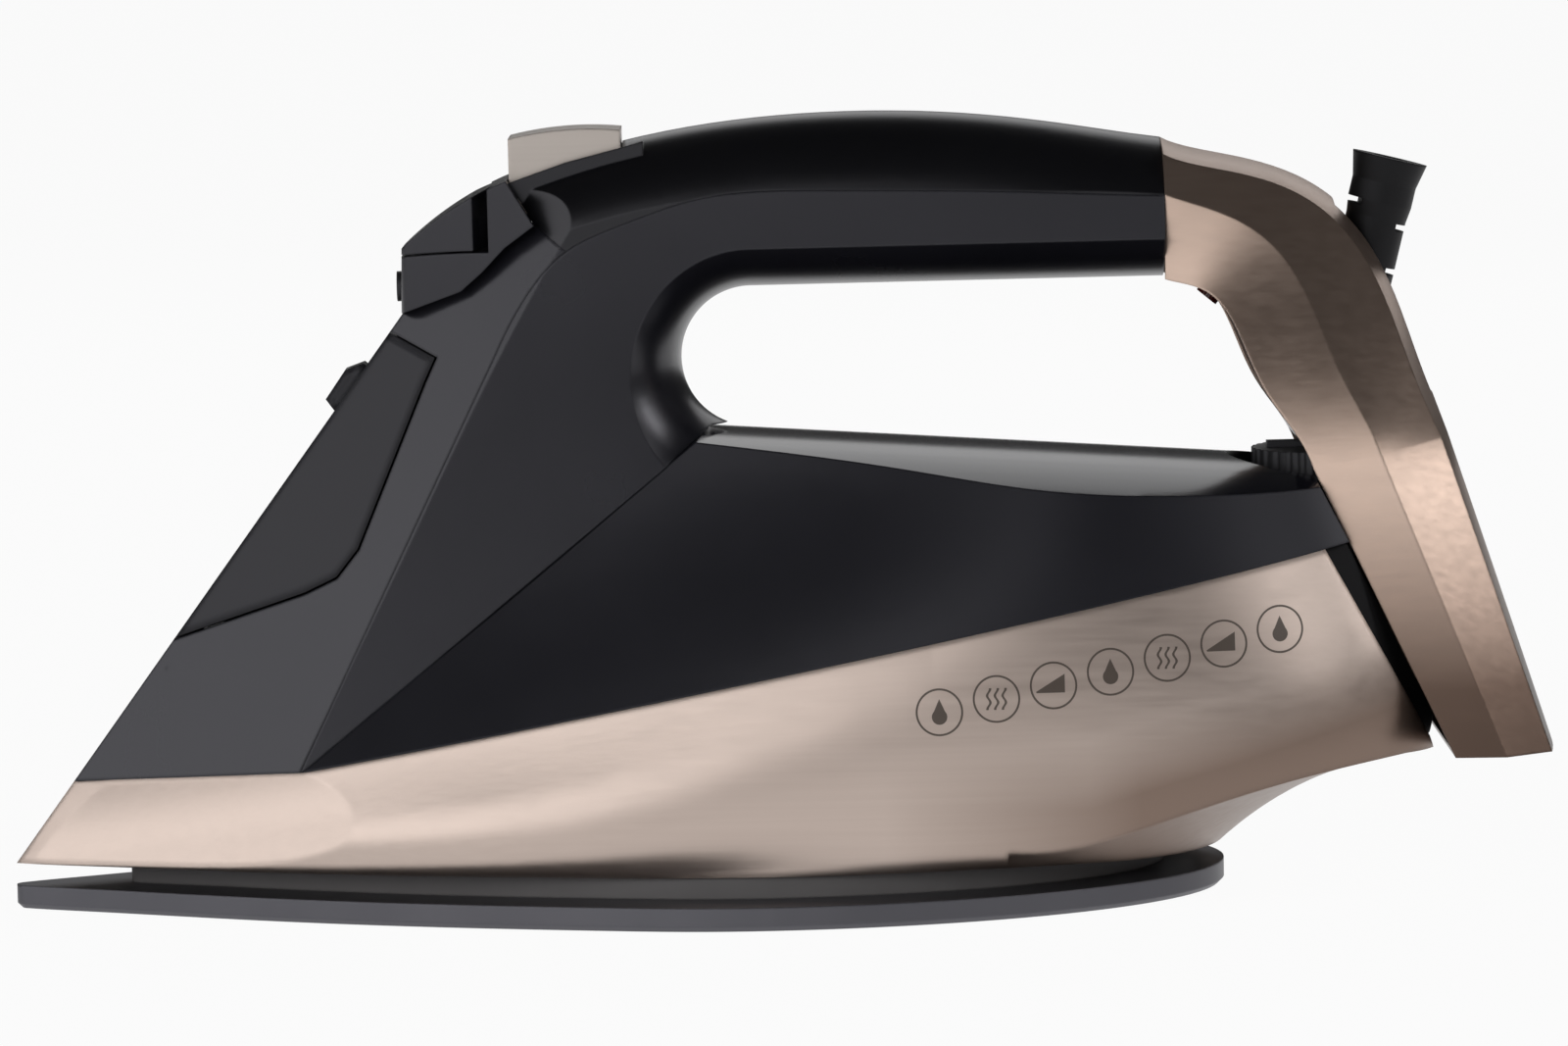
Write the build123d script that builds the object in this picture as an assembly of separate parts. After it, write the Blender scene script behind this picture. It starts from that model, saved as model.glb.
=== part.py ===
"""Steam iron: sole, heater, lower body, handle, rear column and their moving controls.

Frame in millimetres: the sole rests on Z = 0, the tip points to -X, the heel to +X, the left side to -Y.
"""
from build123d import *
import math
import os

# Overall
TIP_X = -153.4
WALL = 2.2
FAR = 400.0

# Sole
SOLE_WIDEST_X = -1.7
SOLE_HALF_WIDTH = 59.0
SOLE_REAR_LENGTH = 90.0
SOLE_THICKNESS = 4.7
SOLE_TAPER = 1.55
SOLE_TIP_R = 3.0
SOLE_TIP_PULL = 1.8
SKIRT_BOTTOM_Z = 9.0

# Nose: a narrow flat ridge between two flat facets
NOSE_LOW_Z = 8.8
NOSE_SLOPE = 0.743
RIDGE_LOW_HALF = 1.0
FACET_RUN = 0.5684
FACET_RISE = -0.3844

# Lower body: level, widest X, half width, nose taper, rear X, rear fullness
HULL_LEVELS = [
    (9.0, 0.0, 48.0, 1.55, 95.0, 2.0),
    (29.0, 15.0, 50.5, 2.2, 131.0, 3.5),
    (50.0, 33.0, 48.5, 1.6, 133.0, 3.0),
    (70.0, 50.0, 44.0, 1.3, 130.0, 2.4),
    (95.0, 62.0, 36.5, 1.1, 122.0, 2.0),
]
STERN_AXIS_X = 44.0
STERN_NECK_R = 43.6
STERN_SHELF_R = 85.2
STERN_SHELF_Z = 28.4
SKIRT_CORNER = (-93.7, 29.0)
SKIRT_REAR_TOP = (107.4, 69.0)
DECK_FRONT = (-12.0, 93.0)
DECK_REAR = (88.0, 85.5)
DECK_CROWN_R = 140.0

# Handle and front column
GRIP_CENTRE = (-3.5, 107.0)
GRIP_R = 14.0
GRIP_ROUND = 24.0
HANDLE_HALF_WIDTH = 18.0
JOINT_X = 78.3
# Handle line: X, crease height, top height
HANDLE_LINE = [
    (JOINT_X, 138.0, 148.5),
    (45.0, 139.5, 153.6),
    (11.0, 140.5, 155.0),
    (-22.0, 138.0, 151.6),
    (-55.0, 128.0, 141.5),
    (-90.0, 110.0, 122.0),
    (-125.0, 90.0, 101.0),
    (-160.0, 70.0, 81.0),
]

# Crease from the handle joint forwards and down to the skirt corner
CREASE = [(84.0, 137.7), (45.0, 139.5), (11.0, 140.5), (-13.0, 139.4), (-28.6, 134.6), (-39.7, 129.5),
          (-47.9, 120.5), (-53.7, 110.0)]
CREASE_FOOT = (-98.66, 20.0)

# Spray head and steam lever
HEAD_FRONT_X = -72.6
HEAD_LOW_Z = 117.5
HEAD_HALF_FRONT = 8.5
LEVER_AXIS_X = -50.0
LEVER_HALF_ANGLE = 60.0
LEVER_SWING = 10.0

# Buttons and pumps
BUTTON_FRONT_X = -50.6
BUTTON_REAR_X = -28.4
BUTTON_HALF_WIDTH = 9.0
BUTTON_TOP_Z = 153.2
BUTTON_FOOT_Z = 136.0
BUTTON_TRAVEL = 4.0
PUMP_X = -39.0
PUMP_Y = 6.2
PUMP_R = 5.2
PUMP_TOP_Z = 123.0
STEM_R = 2.0
RUNNING_GAP = 0.05

# Filler door
DOOR_OUTLINE = [(-75.2, 113.6), (-66.1, 108.9), (-68.2, 104.5), (-82.1, 72.0), (-86.5, 66.5), (-93.0, 63.3),
                (-120.6, 53.5), (-140.0, 60.0), (-100.0, 125.0)]
DOOR_PIVOT = (-120.8, 47.4)
DOOR_GAP = 0.4

# Rear column, from the handle joint to the heel:
# outer X, Z, inner X, Z, half widths at inner edge, crease and outer edge, crease share
COLUMN = [
    (JOINT_X, 148.5, JOINT_X, 121.0, 13.0, 18.0, 15.0, 0.62),
    (95.0, 143.9, 85.5, 118.9, 14.5, 18.5, 14.5, 0.58),
    (109.0, 138.2, 90.2, 114.5, 16.5, 19.5, 14.0, 0.52),
    (119.0, 128.2, 93.5, 107.5, 18.5, 21.0, 14.5, 0.48),
    (126.4, 111.8, 97.8, 98.0, 21.0, 23.5, 16.0, 0.46),
    (134.5, 89.5, 106.0, 84.0, 25.5, 28.0, 20.0, 0.46),
    (153.4, 28.0, 131.8, 28.0, 39.5, 40.5, 33.0, 0.46),
]
HEEL_LINE = ((124.2, 118.9), (153.4, 26.8))

# Temperature dial and its gears
DIAL_X = 113.4
DIAL_R = 18.0
DIAL_LOW_Z = 80.5
DIAL_TOP_Z = 86.3
GEAR_TEETH = 32
GEAR_PITCH_R = 20.0
GEAR_Z = 66.0
GEAR_THICK = 4.0
THERMOSTAT_X = DIAL_X - 2 * GEAR_PITCH_R
SHAFT_R = 4.0

# Cord boot
BOOT_PIVOT = (115.0, 108.0)
BOOT_LEAN = 14.3
BOOT_LENGTH = 36.4
BOOT_SWING = 70.0
BARREL_R = 7.8
CORD_R = 3.5


def ridge_x(z):
    """X of the nose ridge at a height."""
    return TIP_X + 0.3 + NOSE_SLOPE * (z - NOSE_LOW_Z)


def prism(points, half=200.0):
    """A side-view outline (X, Z) carried equally to both sides."""
    face = make_face(Polyline([(x, 0, z) for x, z in points], close=True))
    return extrude(face, amount=half, dir=(0, 1, 0), both=True)


def half_space(origin, normal):
    """A large block that lies beyond a plane, on the side that the normal points to."""
    block = Box(FAR, FAR, FAR, align=(Align.CENTER, Align.CENTER, Align.MIN))
    return Plane(origin=origin, z_dir=normal) * block


def nose_cut(body, inset=0.0):
    """Trim a body to the ridge plane and the two facets, moved inwards by inset."""
    ridge_normal = Vector(-1, 0, NOSE_SLOPE).normalized()
    ridge_at = Vector(ridge_x(60), 0, 60) - ridge_normal * inset
    body -= half_space(ridge_at, ridge_normal)
    for side in (-1, 1):
        normal = Vector(-FACET_RUN, side, -FACET_RISE).normalized()
        start = Vector(TIP_X + 0.3, side * RIDGE_LOW_HALF, NOSE_LOW_Z) - normal * inset
        body -= half_space(start, normal)
    return body


def hull_section(level, inset):
    """Closed plan outline of the lower body at one level."""
    z, widest_x, half_width, taper, rear_x, fullness = level
    half_width -= inset
    nose_x = ridge_x(z) - 1.0 + 1.6 * inset
    rear_x -= inset
    points = []
    for t in (1.0, 0.84, 0.66, 0.45, 0.22):
        points.append((widest_x - t * (widest_x - nose_x), half_width * (1 - t ** taper)))
    points.append((widest_x, half_width))
    for s in (0.35, 0.62, 0.82, 0.94):
        points.append((widest_x + s * (rear_x - widest_x), half_width * (1 - s ** fullness) ** (1 / fullness)))
    points.append((rear_x, 0.0))
    left = Spline([(x, -y, z) for x, y in points], tangents=[(1, -0.7, 0), (0, 1, 0)])
    right = Spline([(x, y, z) for x, y in points], tangents=[(1, 0.7, 0), (0, -1, 0)])
    return make_face([left, right])


def stern_cut(inset=0.0):
    """The space under the stern: a cove turned about a vertical axis."""
    low = (STERN_NECK_R - inset, SKIRT_BOTTOM_Z - 0.5 + inset)
    middle = (62.0 - 0.75 * inset, 21.1 + 0.8 * inset)
    top = (STERN_SHELF_R - 0.3 * inset, STERN_SHELF_Z + inset)
    cove = ThreePointArc((low[0], 0, low[1]), (middle[0], 0, middle[1]), (top[0], 0, top[1]))
    rest = Polyline(
        [(top[0], 0, top[1]), (150, 0, top[1]), (150, 0, -9), (low[0], 0, -9), (low[0], 0, low[1])]
    )
    profile = make_face([cove, rest])
    turned = revolve(profile, Axis.Z, 180)
    return Pos(STERN_AXIS_X, 0, 0) * (Rot(0, 0, -90) * turned)


def hull(inset=0.0):
    """Lower body as one solid, with nose facets and stern cove."""
    body = loft([hull_section(level, inset) for level in HULL_LEVELS])
    body = nose_cut(body, inset)
    return body - stern_cut(inset)


def below_skirt_line(drop=0.0):
    """Everything under the parting line between skirt and lower housing."""
    slope = (SKIRT_REAR_TOP[1] - SKIRT_CORNER[1]) / (SKIRT_REAR_TOP[0] - SKIRT_CORNER[0])
    end_x = 150.0
    end_z = SKIRT_CORNER[1] + slope * (end_x - SKIRT_CORNER[0])
    line = [(-170.0, 23.0), SKIRT_CORNER, (end_x, end_z)]
    line = [(x, z - drop) for x, z in line]
    return prism(line + [(end_x, -20.0), (-170.0, -20.0)])


def handle_arch(inset=0.0):
    """Front column and handle as one long block with an arched top, before any trimming."""
    sections = []
    for x, crease_z, top_z in HANDLE_LINE:
        half = HANDLE_HALF_WIDTH - inset
        foot_z = 15.0
        leg = []
        for f in (0.0, 0.2, 0.5, 1.0):
            z = crease_z + f * (foot_z - crease_z)
            leg.append((leg_half_width(z) - inset, z))
        leg[0] = (half, crease_z)
        arch = ThreePointArc((x, -half, crease_z), (x, 0, top_z - inset), (x, half, crease_z))
        right = Spline([(x, y, z) for y, z in leg])
        left = Spline([(x, -y, z) for y, z in leg])
        foot = Line((x, -leg[-1][0], foot_z), (x, leg[-1][0], foot_z))
        sections.append(make_face([arch, right, foot, left]))
    return loft(sections)


def leg_half_width(z):
    """Half width of the front column: upright at the handle, spreading towards the skirt."""
    below = 118.0 - z
    return HANDLE_HALF_WIDTH + 0.05 * (below + math.hypot(below, 12.0))


def grip_opening(inset=0.0):
    """The finger opening with its rounded rim: turned round its front end, straight under the handle."""
    cx, cz = GRIP_CENTRE
    radius = GRIP_R + inset
    rim = GRIP_ROUND - inset
    arc = ThreePointArc((-rim, radius + rim), (0, radius), (rim, radius + rim))
    top = radius + rim
    close = Polyline([(rim, top), (60, top), (60, 0), (-60, 0), (-60, top), (-rim, top)])
    flat = make_face([arc, close])
    upright = Plane(origin=(cx, 0, cz), x_dir=(0, 1, 0), z_dir=(1, 0, 0)) * flat
    straight = extrude(upright, amount=200, dir=(1, 0, 0))
    below = Pos(cx + 100, 0, cz - 60) * Box(200, 120, 124)
    turned = revolve(upright, Axis((cx, 0, cz), (0, 1, 0)), -180)
    return [straight, below, turned]


def side_face(points):
    """Flat outline in the side view."""
    return make_face(Polyline([(x, 0, z) for x, z in points], close=True))


def both_ways(face, half):
    """Carry a side-view face equally to both sides."""
    return extrude(face, amount=half, dir=(0, 1, 0), both=True)


def ahead_of_crease():
    """Everything in front of and above the crease line."""
    curve = Spline([(x, 0, z) for x, z in CREASE])
    last = CREASE[-1]
    rest = Polyline([(last[0], 0, last[1]), (CREASE_FOOT[0], 0, CREASE_FOOT[1]), (-170, 0, 20), (-170, 0, 200),
                     (CREASE[0][0], 0, 200), (CREASE[0][0], 0, CREASE[0][1])])
    return both_ways(make_face([curve, rest]), 60)


def cylinder_at(x, y, z_low, z_high, radius):
    """Upright cylinder between two heights."""
    height = z_high - z_low
    return Pos(x, y, z_low) * Cylinder(radius, height, align=(Align.CENTER, Align.CENTER, Align.MIN))


def cross_pin(x, z, radius, half):
    """Cylinder across the body, along Y."""
    return Pos(x, 0, z) * (Rot(90, 0, 0) * Cylinder(radius, 2 * half))


def block(x_low, x_high, half, z_low, z_high):
    """Box that is symmetric about the middle plane."""
    low = (Align.MIN, Align.CENTER, Align.MIN)
    return Pos(x_low, 0, z_low) * Box(x_high - x_low, 2 * half, z_high - z_low, align=low)


def column_section(row, inset, open_front):
    """One six-sided section across the rear column."""
    ox, oz, ix, iz, half_in, half_crease, half_out, share = row
    outer = Vector(ox, 0, oz)
    inner = Vector(ix, 0, iz)
    along = (outer - inner).normalized()
    length = (outer - inner).length
    start = inner - along * open_front
    crease = inner + along * (share * length)
    end = inner + along * (0.9 * length - inset)
    tip = outer - along * inset
    near = [start, crease, end]
    halves = [half_in - inset, half_crease - inset, half_out - inset]
    left = [p + Vector(0, -h, 0) for p, h in zip(near, halves)]
    right = [p + Vector(0, h, 0) for p, h in zip(near, halves)]
    front = Line(right[0], left[0])
    sides = Polyline(left)
    back = ThreePointArc(left[2], tip, right[2])
    return make_face([front, sides, back, Polyline(right[::-1])])


def column(inset=0.0, open_front=0.0):
    """Rear column: a curved loft from the handle joint, then straight down to the heel."""
    rows = list(COLUMN)
    if inset:
        first = rows[0]
        last = rows[-1]
        rows[0] = (first[0] - 1.0, first[1], first[2] - 1.0) + first[3:]
        rows[-1] = (last[0] - 0.7, last[1] + inset, last[2] - 1.0, last[3] + inset) + last[4:]
    sections = [column_section(row, inset, open_front) for row in rows]
    body = loft(sections[:-1]) + loft(sections[-2:], ruled=True)
    (x0, z0), (x1, z1) = HEEL_LINE
    normal = Vector(z0 - z1, 0, x1 - x0).normalized()
    return body - half_space(Vector(x1, 0, z1) - normal * inset, normal)


def gear(x, phase):
    """Spur gear with straight-flanked teeth."""
    points = []
    step = 360.0 / GEAR_TEETH
    for i in range(GEAR_TEETH):
        for offset, radius in ((-3.4, 18.4), (-1.1, 20.9), (1.1, 20.9), (3.4, 18.4)):
            angle = math.radians(phase + i * step + offset)
            points.append((radius * math.cos(angle), radius * math.sin(angle)))
    flat = make_face(Polyline(points, close=True))
    return Pos(x, 0, GEAR_Z) * extrude(flat, amount=GEAR_THICK, dir=(0, 0, 1))


def sole_outline(inset):
    """Plan of the sole: pointed front by a power curve, half an ellipse behind."""
    half = SOLE_HALF_WIDTH - inset
    tip = TIP_X - SOLE_TIP_PULL + 1.9 * inset
    reach = SOLE_WIDEST_X - tip
    front = [(SOLE_WIDEST_X - t * reach, half * (1 - t ** SOLE_TAPER)) for t in (1.0, 0.9, 0.7, 0.45, 0.2, 0.0)]
    front[0] = (tip, 0.0)
    rear = SOLE_REAR_LENGTH - inset
    left = Spline([(x, -y) for x, y in front], tangents=[(1, -0.8), (1, 0)])
    right = Spline([(x, y) for x, y in front], tangents=[(1, 0.8), (1, 0)])
    back = [EllipticalCenterArc((SOLE_WIDEST_X, 0), rear, half, start_angle=-90, arc_size=180)]
    plan = make_face([left, right] + back)
    return fillet(plan.vertices().sort_by(Axis.X)[:1], SOLE_TIP_R)


parts = {}
outer_hull = hull()
inner_hull = hull(WALL)
third_hull = hull(2 * WALL)
skirt_zone = below_skirt_line()

# Upper body: front column and handle
arch = handle_arch()
inner_arch = handle_arch(WALL)
upper = nose_cut(arch)
for cut in grip_opening():
    upper -= cut
upper_in = nose_cut(inner_arch, WALL)
for cut in grip_opening(WALL):
    upper_in -= cut

# Rear column
column_body = column()
column_room = column(WALL, 6.0)

# Skirt: the champagne shell from the sole to the parting line
rear_edge = prism([SKIRT_REAR_TOP, (127.8, 31.0), (129.2, 27.0), (128.0, 0.0), (-170, 0), (-170, 90),
                   (96.1, 90.0)])
parts["skirt"] = (outer_hull - inner_hull) & skirt_zone & rear_edge

# Lower housing: black sides under a crowned deck, open behind and below
deck_slope = math.degrees(math.atan2(DECK_FRONT[1] - DECK_REAR[1], DECK_REAR[0] - DECK_FRONT[0]))


def deck_roof(drop):
    """Long cylinder whose top line is the crest of the deck."""
    crest = Pos(DECK_FRONT[0], 0, DECK_FRONT[1] - drop)
    drum = Pos(50, 0, -DECK_CROWN_R) * (Rot(0, 90, 0) * Cylinder(DECK_CROWN_R, FAR))
    return crest * (Rot(0, deck_slope, 0) * drum)


def housing_zone(inset, rear):
    """Side view of the lower housing between parting line, shoulder and rear column."""
    corner_x, corner_z = SKIRT_CORNER
    top_x, top_z = SKIRT_REAR_TOP
    front = [(corner_x + 1.6 * inset, corner_z), (DECK_FRONT[0] + inset, DECK_FRONT[1] + 1.0 - inset)]
    back = [(100 + rear, 100), (100.6 + rear, 93.5), (top_x + 5.0 + rear, top_z + 1.0), (96 + rear, 20)]
    return prism(front + back + [(corner_x + 9, 20)])


housing_block = (outer_hull & housing_zone(0.0, 0.0) & deck_roof(0.0)) - skirt_zone
housing_room = inner_hull & housing_zone(WALL, 30.0) & deck_roof(WALL)
dial_dish = cylinder_at(DIAL_X, 0, DIAL_LOW_Z - 1.0, 120, DIAL_R + 5.0)
funnel_axis = Pos(-77, 0, 63.0) * Rot(0, -25, 0)
filler_pipe_hole = funnel_axis * Cylinder(6.3, 60)
parts["lower_housing"] = housing_block - housing_room - dial_dish - filler_pipe_hole
parts["lower_housing"] -= cylinder_at(LEVER_AXIS_X, 0, 20, 120, 2.6)

# Rear frame: black wall behind the skirt, under the rear column's edge
frame_zone = prism([(92, 24), (92, 66), (106, 69), (112.0, 69.5), (131.0, 30.6), (131, 24)])
above_shelf = prism([(80, STERN_SHELF_Z + WALL), (80, 100), (140, 100), (140, STERN_SHELF_Z + WALL)])
parts["rear_frame"] = (inner_hull - third_hull) & frame_zone & above_shelf

# Spray head
head_line = ThreePointArc((-72.2, 0, 130.4), (-62.3, 0, 138.0), (-51.0, 0, 143.6))
head_rest = Polyline([(-51.0, 0, 143.6), (-45.7, 0, 134.8), (-51.6, 0, 130.5), (-56.2, 0, 125.7),
                      (-60.6, 0, 121.9), (HEAD_FRONT_X, 0, HEAD_LOW_Z), (-72.2, 0, 130.4)])
head_side = both_ways(make_face([head_line, head_rest]), 30)
head_corners = [(HEAD_FRONT_X, -HEAD_HALF_FRONT), (-40, -20), (-40, 20), (HEAD_FRONT_X, HEAD_HALF_FRONT)]
head_plan = make_face(Polyline(head_corners, close=True))
head_plan = fillet(head_plan.vertices().sort_by(Axis.X)[:2], 3.0)
head_block = head_side & extrude(head_plan, amount=200, dir=(0, 0, 1))
head_room = Pos(1.9, 0, -1.9) * head_block & block(-70.4, -40, 15.5, 100, 140)
room_plan = make_face(Polyline([(-70.4, -6.3), (-40, -17.2), (-40, 17.2), (-70.4, 6.3)], close=True))
head_room &= extrude(room_plan, amount=200, dir=(0, 0, 1))


def lever_ring(r_low, r_high, lift, half_angle):
    """Ring sector about the steam lever's axis, above a shallow cone."""
    low = [(r_low, 0, 130.3 + lift), (r_high, 0, 127.2 + lift)]
    flat = make_face(Polyline(low + [(r_high, 0, 150), (r_low, 0, 150)], close=True))
    turned = revolve(flat, Axis.Z, 2 * half_angle)
    return Pos(LEVER_AXIS_X, 0, 0) * (Rot(0, 0, 180 - half_angle) * turned)


arm_face = make_face(Polyline([(0, 0, 123.5), (11.5, 0, 123.5), (11.5, 0, 131), (0, 0, 131)], close=True))
arm_slot = Pos(LEVER_AXIS_X, 0, 0) * (Rot(0, 0, 180 - 40) * revolve(arm_face, Axis.Z, 80))
nozzle_bore = Pos(HEAD_FRONT_X + 4, 0, 122.5) * (Rot(0, 90, 0) * Cylinder(3.0, 12))
lever_way = lever_ring(8.4, 40, 0.0, LEVER_HALF_ANGLE + LEVER_SWING + 2)
parts["spray_head"] = head_block - head_room - lever_way - arm_slot - nozzle_bore
lever_cap = head_block & lever_ring(8.9, 40, 0.35, LEVER_HALF_ANGLE)
lever_arm = Pos(LEVER_AXIS_X - 7.5, 0, 127.5) * Box(12, 5.0, 5.6)
lever_hub = cylinder_at(LEVER_AXIS_X, 0, 124.7, 130.3, 5.0)
parts["steam_lever"] = lever_cap + lever_arm + lever_hub
nozzle = Pos(HEAD_FRONT_X + 3.0, 0, 122.5) * (Rot(0, 90, 0) * Cylinder(3.0, 8.0))
parts["spray_nozzle"] = nozzle - Pos(HEAD_FRONT_X, 0, 122.5) * (Rot(0, 90, 0) * Cylinder(0.7, 20))

# Upper shells, split at the crease
front_zone = ahead_of_crease()
deck_edge = DECK_FRONT[1] + 1.0
shoulder = prism([SKIRT_CORNER, (DECK_FRONT[0], deck_edge), (20, deck_edge), (20, 0), (SKIRT_CORNER[0], 0)])
front_part = (upper & front_zone) - skirt_zone - head_block
split_back = prism([(-51.0, 200), (-51.0, 143.6), (-45.7, 134.8), (-36.0, 127.0), (100, 127.0), (100, 200)])
button_well = block(BUTTON_FRONT_X - 0.3, BUTTON_REAR_X + 0.3, BUTTON_HALF_WIDTH + 0.3, 125, 170)
parts["spray_head"] -= button_well
collar_side = [(-54.0, 136.0), (-54.0, 141.6), (-50.6, 143.0), (-39.5, 146.7), (-28.4, 149.4), (-24.0, 150.6),
               (-24.0, 136.0)]
collar = prism(collar_side, BUTTON_HALF_WIDTH + 1.8)
handle_top = (front_part & split_back) + (collar & split_back)
parts["handle_cover"] = handle_top - upper_in - button_well
nose_part = front_part - split_back
parts["column_housing"] = (upper - front_zone) - skirt_zone - shoulder - housing_block - upper_in - button_well

# Filler door: lifts out of the nose on a tongue that turns in a slot in the ridge
pivot_x, pivot_z = DOOR_PIVOT
door_face = side_face(DOOR_OUTLINE)
door_hole = both_ways(offset(door_face, DOOR_GAP, kind=Kind.INTERSECTION), 40)
tongue_side = [(pivot_x - 2.7, pivot_z + 3.0), (-118.0, 57.0), (-113.0, 55.0), (pivot_x + 3.0, pivot_z + 1.0)]
slot_side = [(-127.5, 47.0), (-119.5, 58.5), (-111.5, 55.0), (pivot_x + 4.4, pivot_z)]
slot = cross_pin(pivot_x, pivot_z, 4.6, 1.5) + prism(slot_side, 1.5)
nose_room = upper_in - cross_pin(pivot_x, pivot_z, 7.0, 20)
nose_panel = nose_part - door_hole - nose_room - slot - button_well
parts["nose_panel"] = nose_panel - cross_pin(pivot_x, pivot_z, 0.8, 3.6)
tongue = (cross_pin(pivot_x, pivot_z, 3.6, 1.1) + prism(tongue_side, 1.1)) & nose_part
tab = prism([(-86.0, 97.4), (-88.3, 100.6), (-84.3, 106.3), (-80.6, 107.6), (-79.0, 106.2)], 3.5)
door_shell = (nose_part & both_ways(door_face, 40)) - upper_in
filler_door = door_shell + (tab - upper_in) + tongue
parts["filler_door"] = filler_door - cross_pin(pivot_x, pivot_z, 0.8 + RUNNING_GAP, 3.0)
parts["door_hinge_pin"] = cross_pin(pivot_x, pivot_z, 0.8, 3.6)
parts["filler_funnel"] = funnel_axis * (Cylinder(6.0, 46) - Cylinder(4.6, 60))

# Rear cover with the slot that the boot swings in
boot_x, boot_z = BOOT_PIVOT


def boot_frame(angle):
    """Frame at the boot pivot whose Z runs along the boot at a swing angle."""
    lean = math.radians(BOOT_LEAN + angle)
    across = (math.cos(lean), 0, -math.sin(lean))
    along = (math.sin(lean), 0, math.cos(lean))
    return Plane(origin=(boot_x, 0, boot_z), x_dir=across, z_dir=along)


fan = [(boot_x, boot_z)]
for angle in (-20.0, 5.0, 30.0, 55.0, BOOT_SWING + 12.0, BOOT_SWING + 40.0):
    lean = math.radians(BOOT_LEAN + angle)
    fan.append((boot_x + 60 * math.sin(lean), boot_z + 60 * math.cos(lean)))
boot_slot = prism(fan, 7.6)
parts["rear_cover"] = column_body - column_room - boot_slot

# Cord boot: flared rim, cut with alternating slots so that it bends, on a barrel that turns in the column
boot_outline = Polyline([(CORD_R, 0), (6.0, 0), (6.0, BOOT_LENGTH - 12), (6.4, BOOT_LENGTH - 9),
                         (6.4, BOOT_LENGTH - 5), (7.5, BOOT_LENGTH)])
boot_inner = Polyline([(7.5, BOOT_LENGTH), (CORD_R, BOOT_LENGTH), (CORD_R, 0)])
boot_body = revolve(make_face([Plane.XZ * boot_outline, Plane.XZ * boot_inner]), Axis.Z, 360)
for index, height in enumerate((9.5, 13.1, 17.1, 22.0)):
    side = -1 if index % 2 == 0 else 1
    boot_body -= Pos(side * 6.4, 0, BOOT_LENGTH - height) * Box(5.0, 20, 1.2)
barrel = cross_pin(0, 0, BARREL_R, 9.5) + cross_pin(0, 0, 3.0, 12.5)
boot_body -= cross_pin(0, 0, BARREL_R, 30)
parts["cord_boot"] = boot_frame(0) * boot_body
parts["cord_trunnion"] = boot_frame(0) * (barrel - Cylinder(CORD_R, 60))
carrier_lug = block(boot_x - 5, boot_x + 5, 16.5, boot_z - 5, boot_z + 5)
carrier_lug -= block(boot_x - 20, boot_x + 20, 10.0, boot_z - 20, boot_z + 20)
carrier_bar = block(boot_x - 13.0, boot_x - 5, 16.5, boot_z - 5, boot_z + 5)
bracket = (carrier_lug + carrier_bar) & column_room
bracket -= cross_pin(boot_x, boot_z, 3.0 + RUNNING_GAP, 20)
parts["trunnion_bracket"] = bracket - cross_pin(boot_x, boot_z, BARREL_R + 0.4, 9.9)

# Inner face of the rear column inside the finger opening, and the pilot lamp in it
liner_band = prism([(81.0, 121.9), (86.3, 119.6), (91.4, 115.0), (94.8, 108.0), (104.0, 88.6), (106.0, 88.6),
                    (106.0, 89.4), (97.0, 108.6), (93.3, 116.5), (87.2, 121.7), (81.0, 123.9)])
lens_axis = Pos(88.6, 0, 118.4) * Rot(0, -140, 0)
lens = lens_axis * Cylinder(2.4, 5.0)
parts["grip_liner"] = (column_room & liner_band) - lens
parts["pilot_lens"] = lens

# Temperature dial, its gear and the thermostat's gear
dial = cylinder_at(DIAL_X, 0, DIAL_LOW_Z, DIAL_TOP_Z, DIAL_R)
groove = cylinder_at(DIAL_R + 0.6, 0, DIAL_LOW_Z - 1, DIAL_TOP_Z + 1, 1.1)
dial -= [Pos(DIAL_X, 0, 0) * (Rot(0, 0, 10 * i) * groove) for i in range(36)]
dial += Pos(DIAL_X, 0, DIAL_TOP_Z + 0.5) * Box(30, 3.0, 1.6)
dial += cylinder_at(DIAL_X, 0, GEAR_Z - 2, DIAL_LOW_Z + 1, SHAFT_R)
parts["temperature_dial"] = dial
parts["dial_gear"] = gear(DIAL_X, 0.0) - cylinder_at(DIAL_X, 0, 0, 200, SHAFT_R)
carrier = block(98.5, 131.0, 20.0, 72.5, 78.8) - cylinder_at(DIAL_X, 0, 0, 200, SHAFT_R + RUNNING_GAP)
parts["dial_carrier"] = carrier & (third_hull + column(WALL + 0.6, -1.0))
spindle = cylinder_at(THERMOSTAT_X, 0, 31.0, GEAR_Z + 8, 2.5)
mesh_phase = 180.0 + 180.0 / GEAR_TEETH
parts["thermostat_gear"] = gear(THERMOSTAT_X, mesh_phase) - cylinder_at(THERMOSTAT_X, 0, 0, 200, 2.5)
parts["thermostat_spindle"] = spindle

# Sole, heater and steam chamber
sole = extrude(sole_outline(0.0), amount=SOLE_THICKNESS)
vents = []
for inset, first, last, count in ((19.0, 0.12, 0.84, 10), (29.0, 0.3, 0.7, 5)):
    for i in range(count):
        share = first + i * (last - first) / (count - 1)
        x = TIP_X + share * (SOLE_WIDEST_X + SOLE_REAR_LENGTH - TIP_X)
        t = (SOLE_WIDEST_X - x) / (SOLE_WIDEST_X - TIP_X)
        if t > 0:
            reach = 1 - t ** SOLE_TAPER
        else:
            reach = math.sqrt(1 - ((x - SOLE_WIDEST_X) / SOLE_REAR_LENGTH) ** 2)
        y = SOLE_HALF_WIDTH * reach - inset
        if y > 2.0:
            vents += [Pos(x, y, 0) * Cylinder(1.2, 30), Pos(x, -y, 0) * Cylinder(1.2, 30)]
sole -= vents
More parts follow.
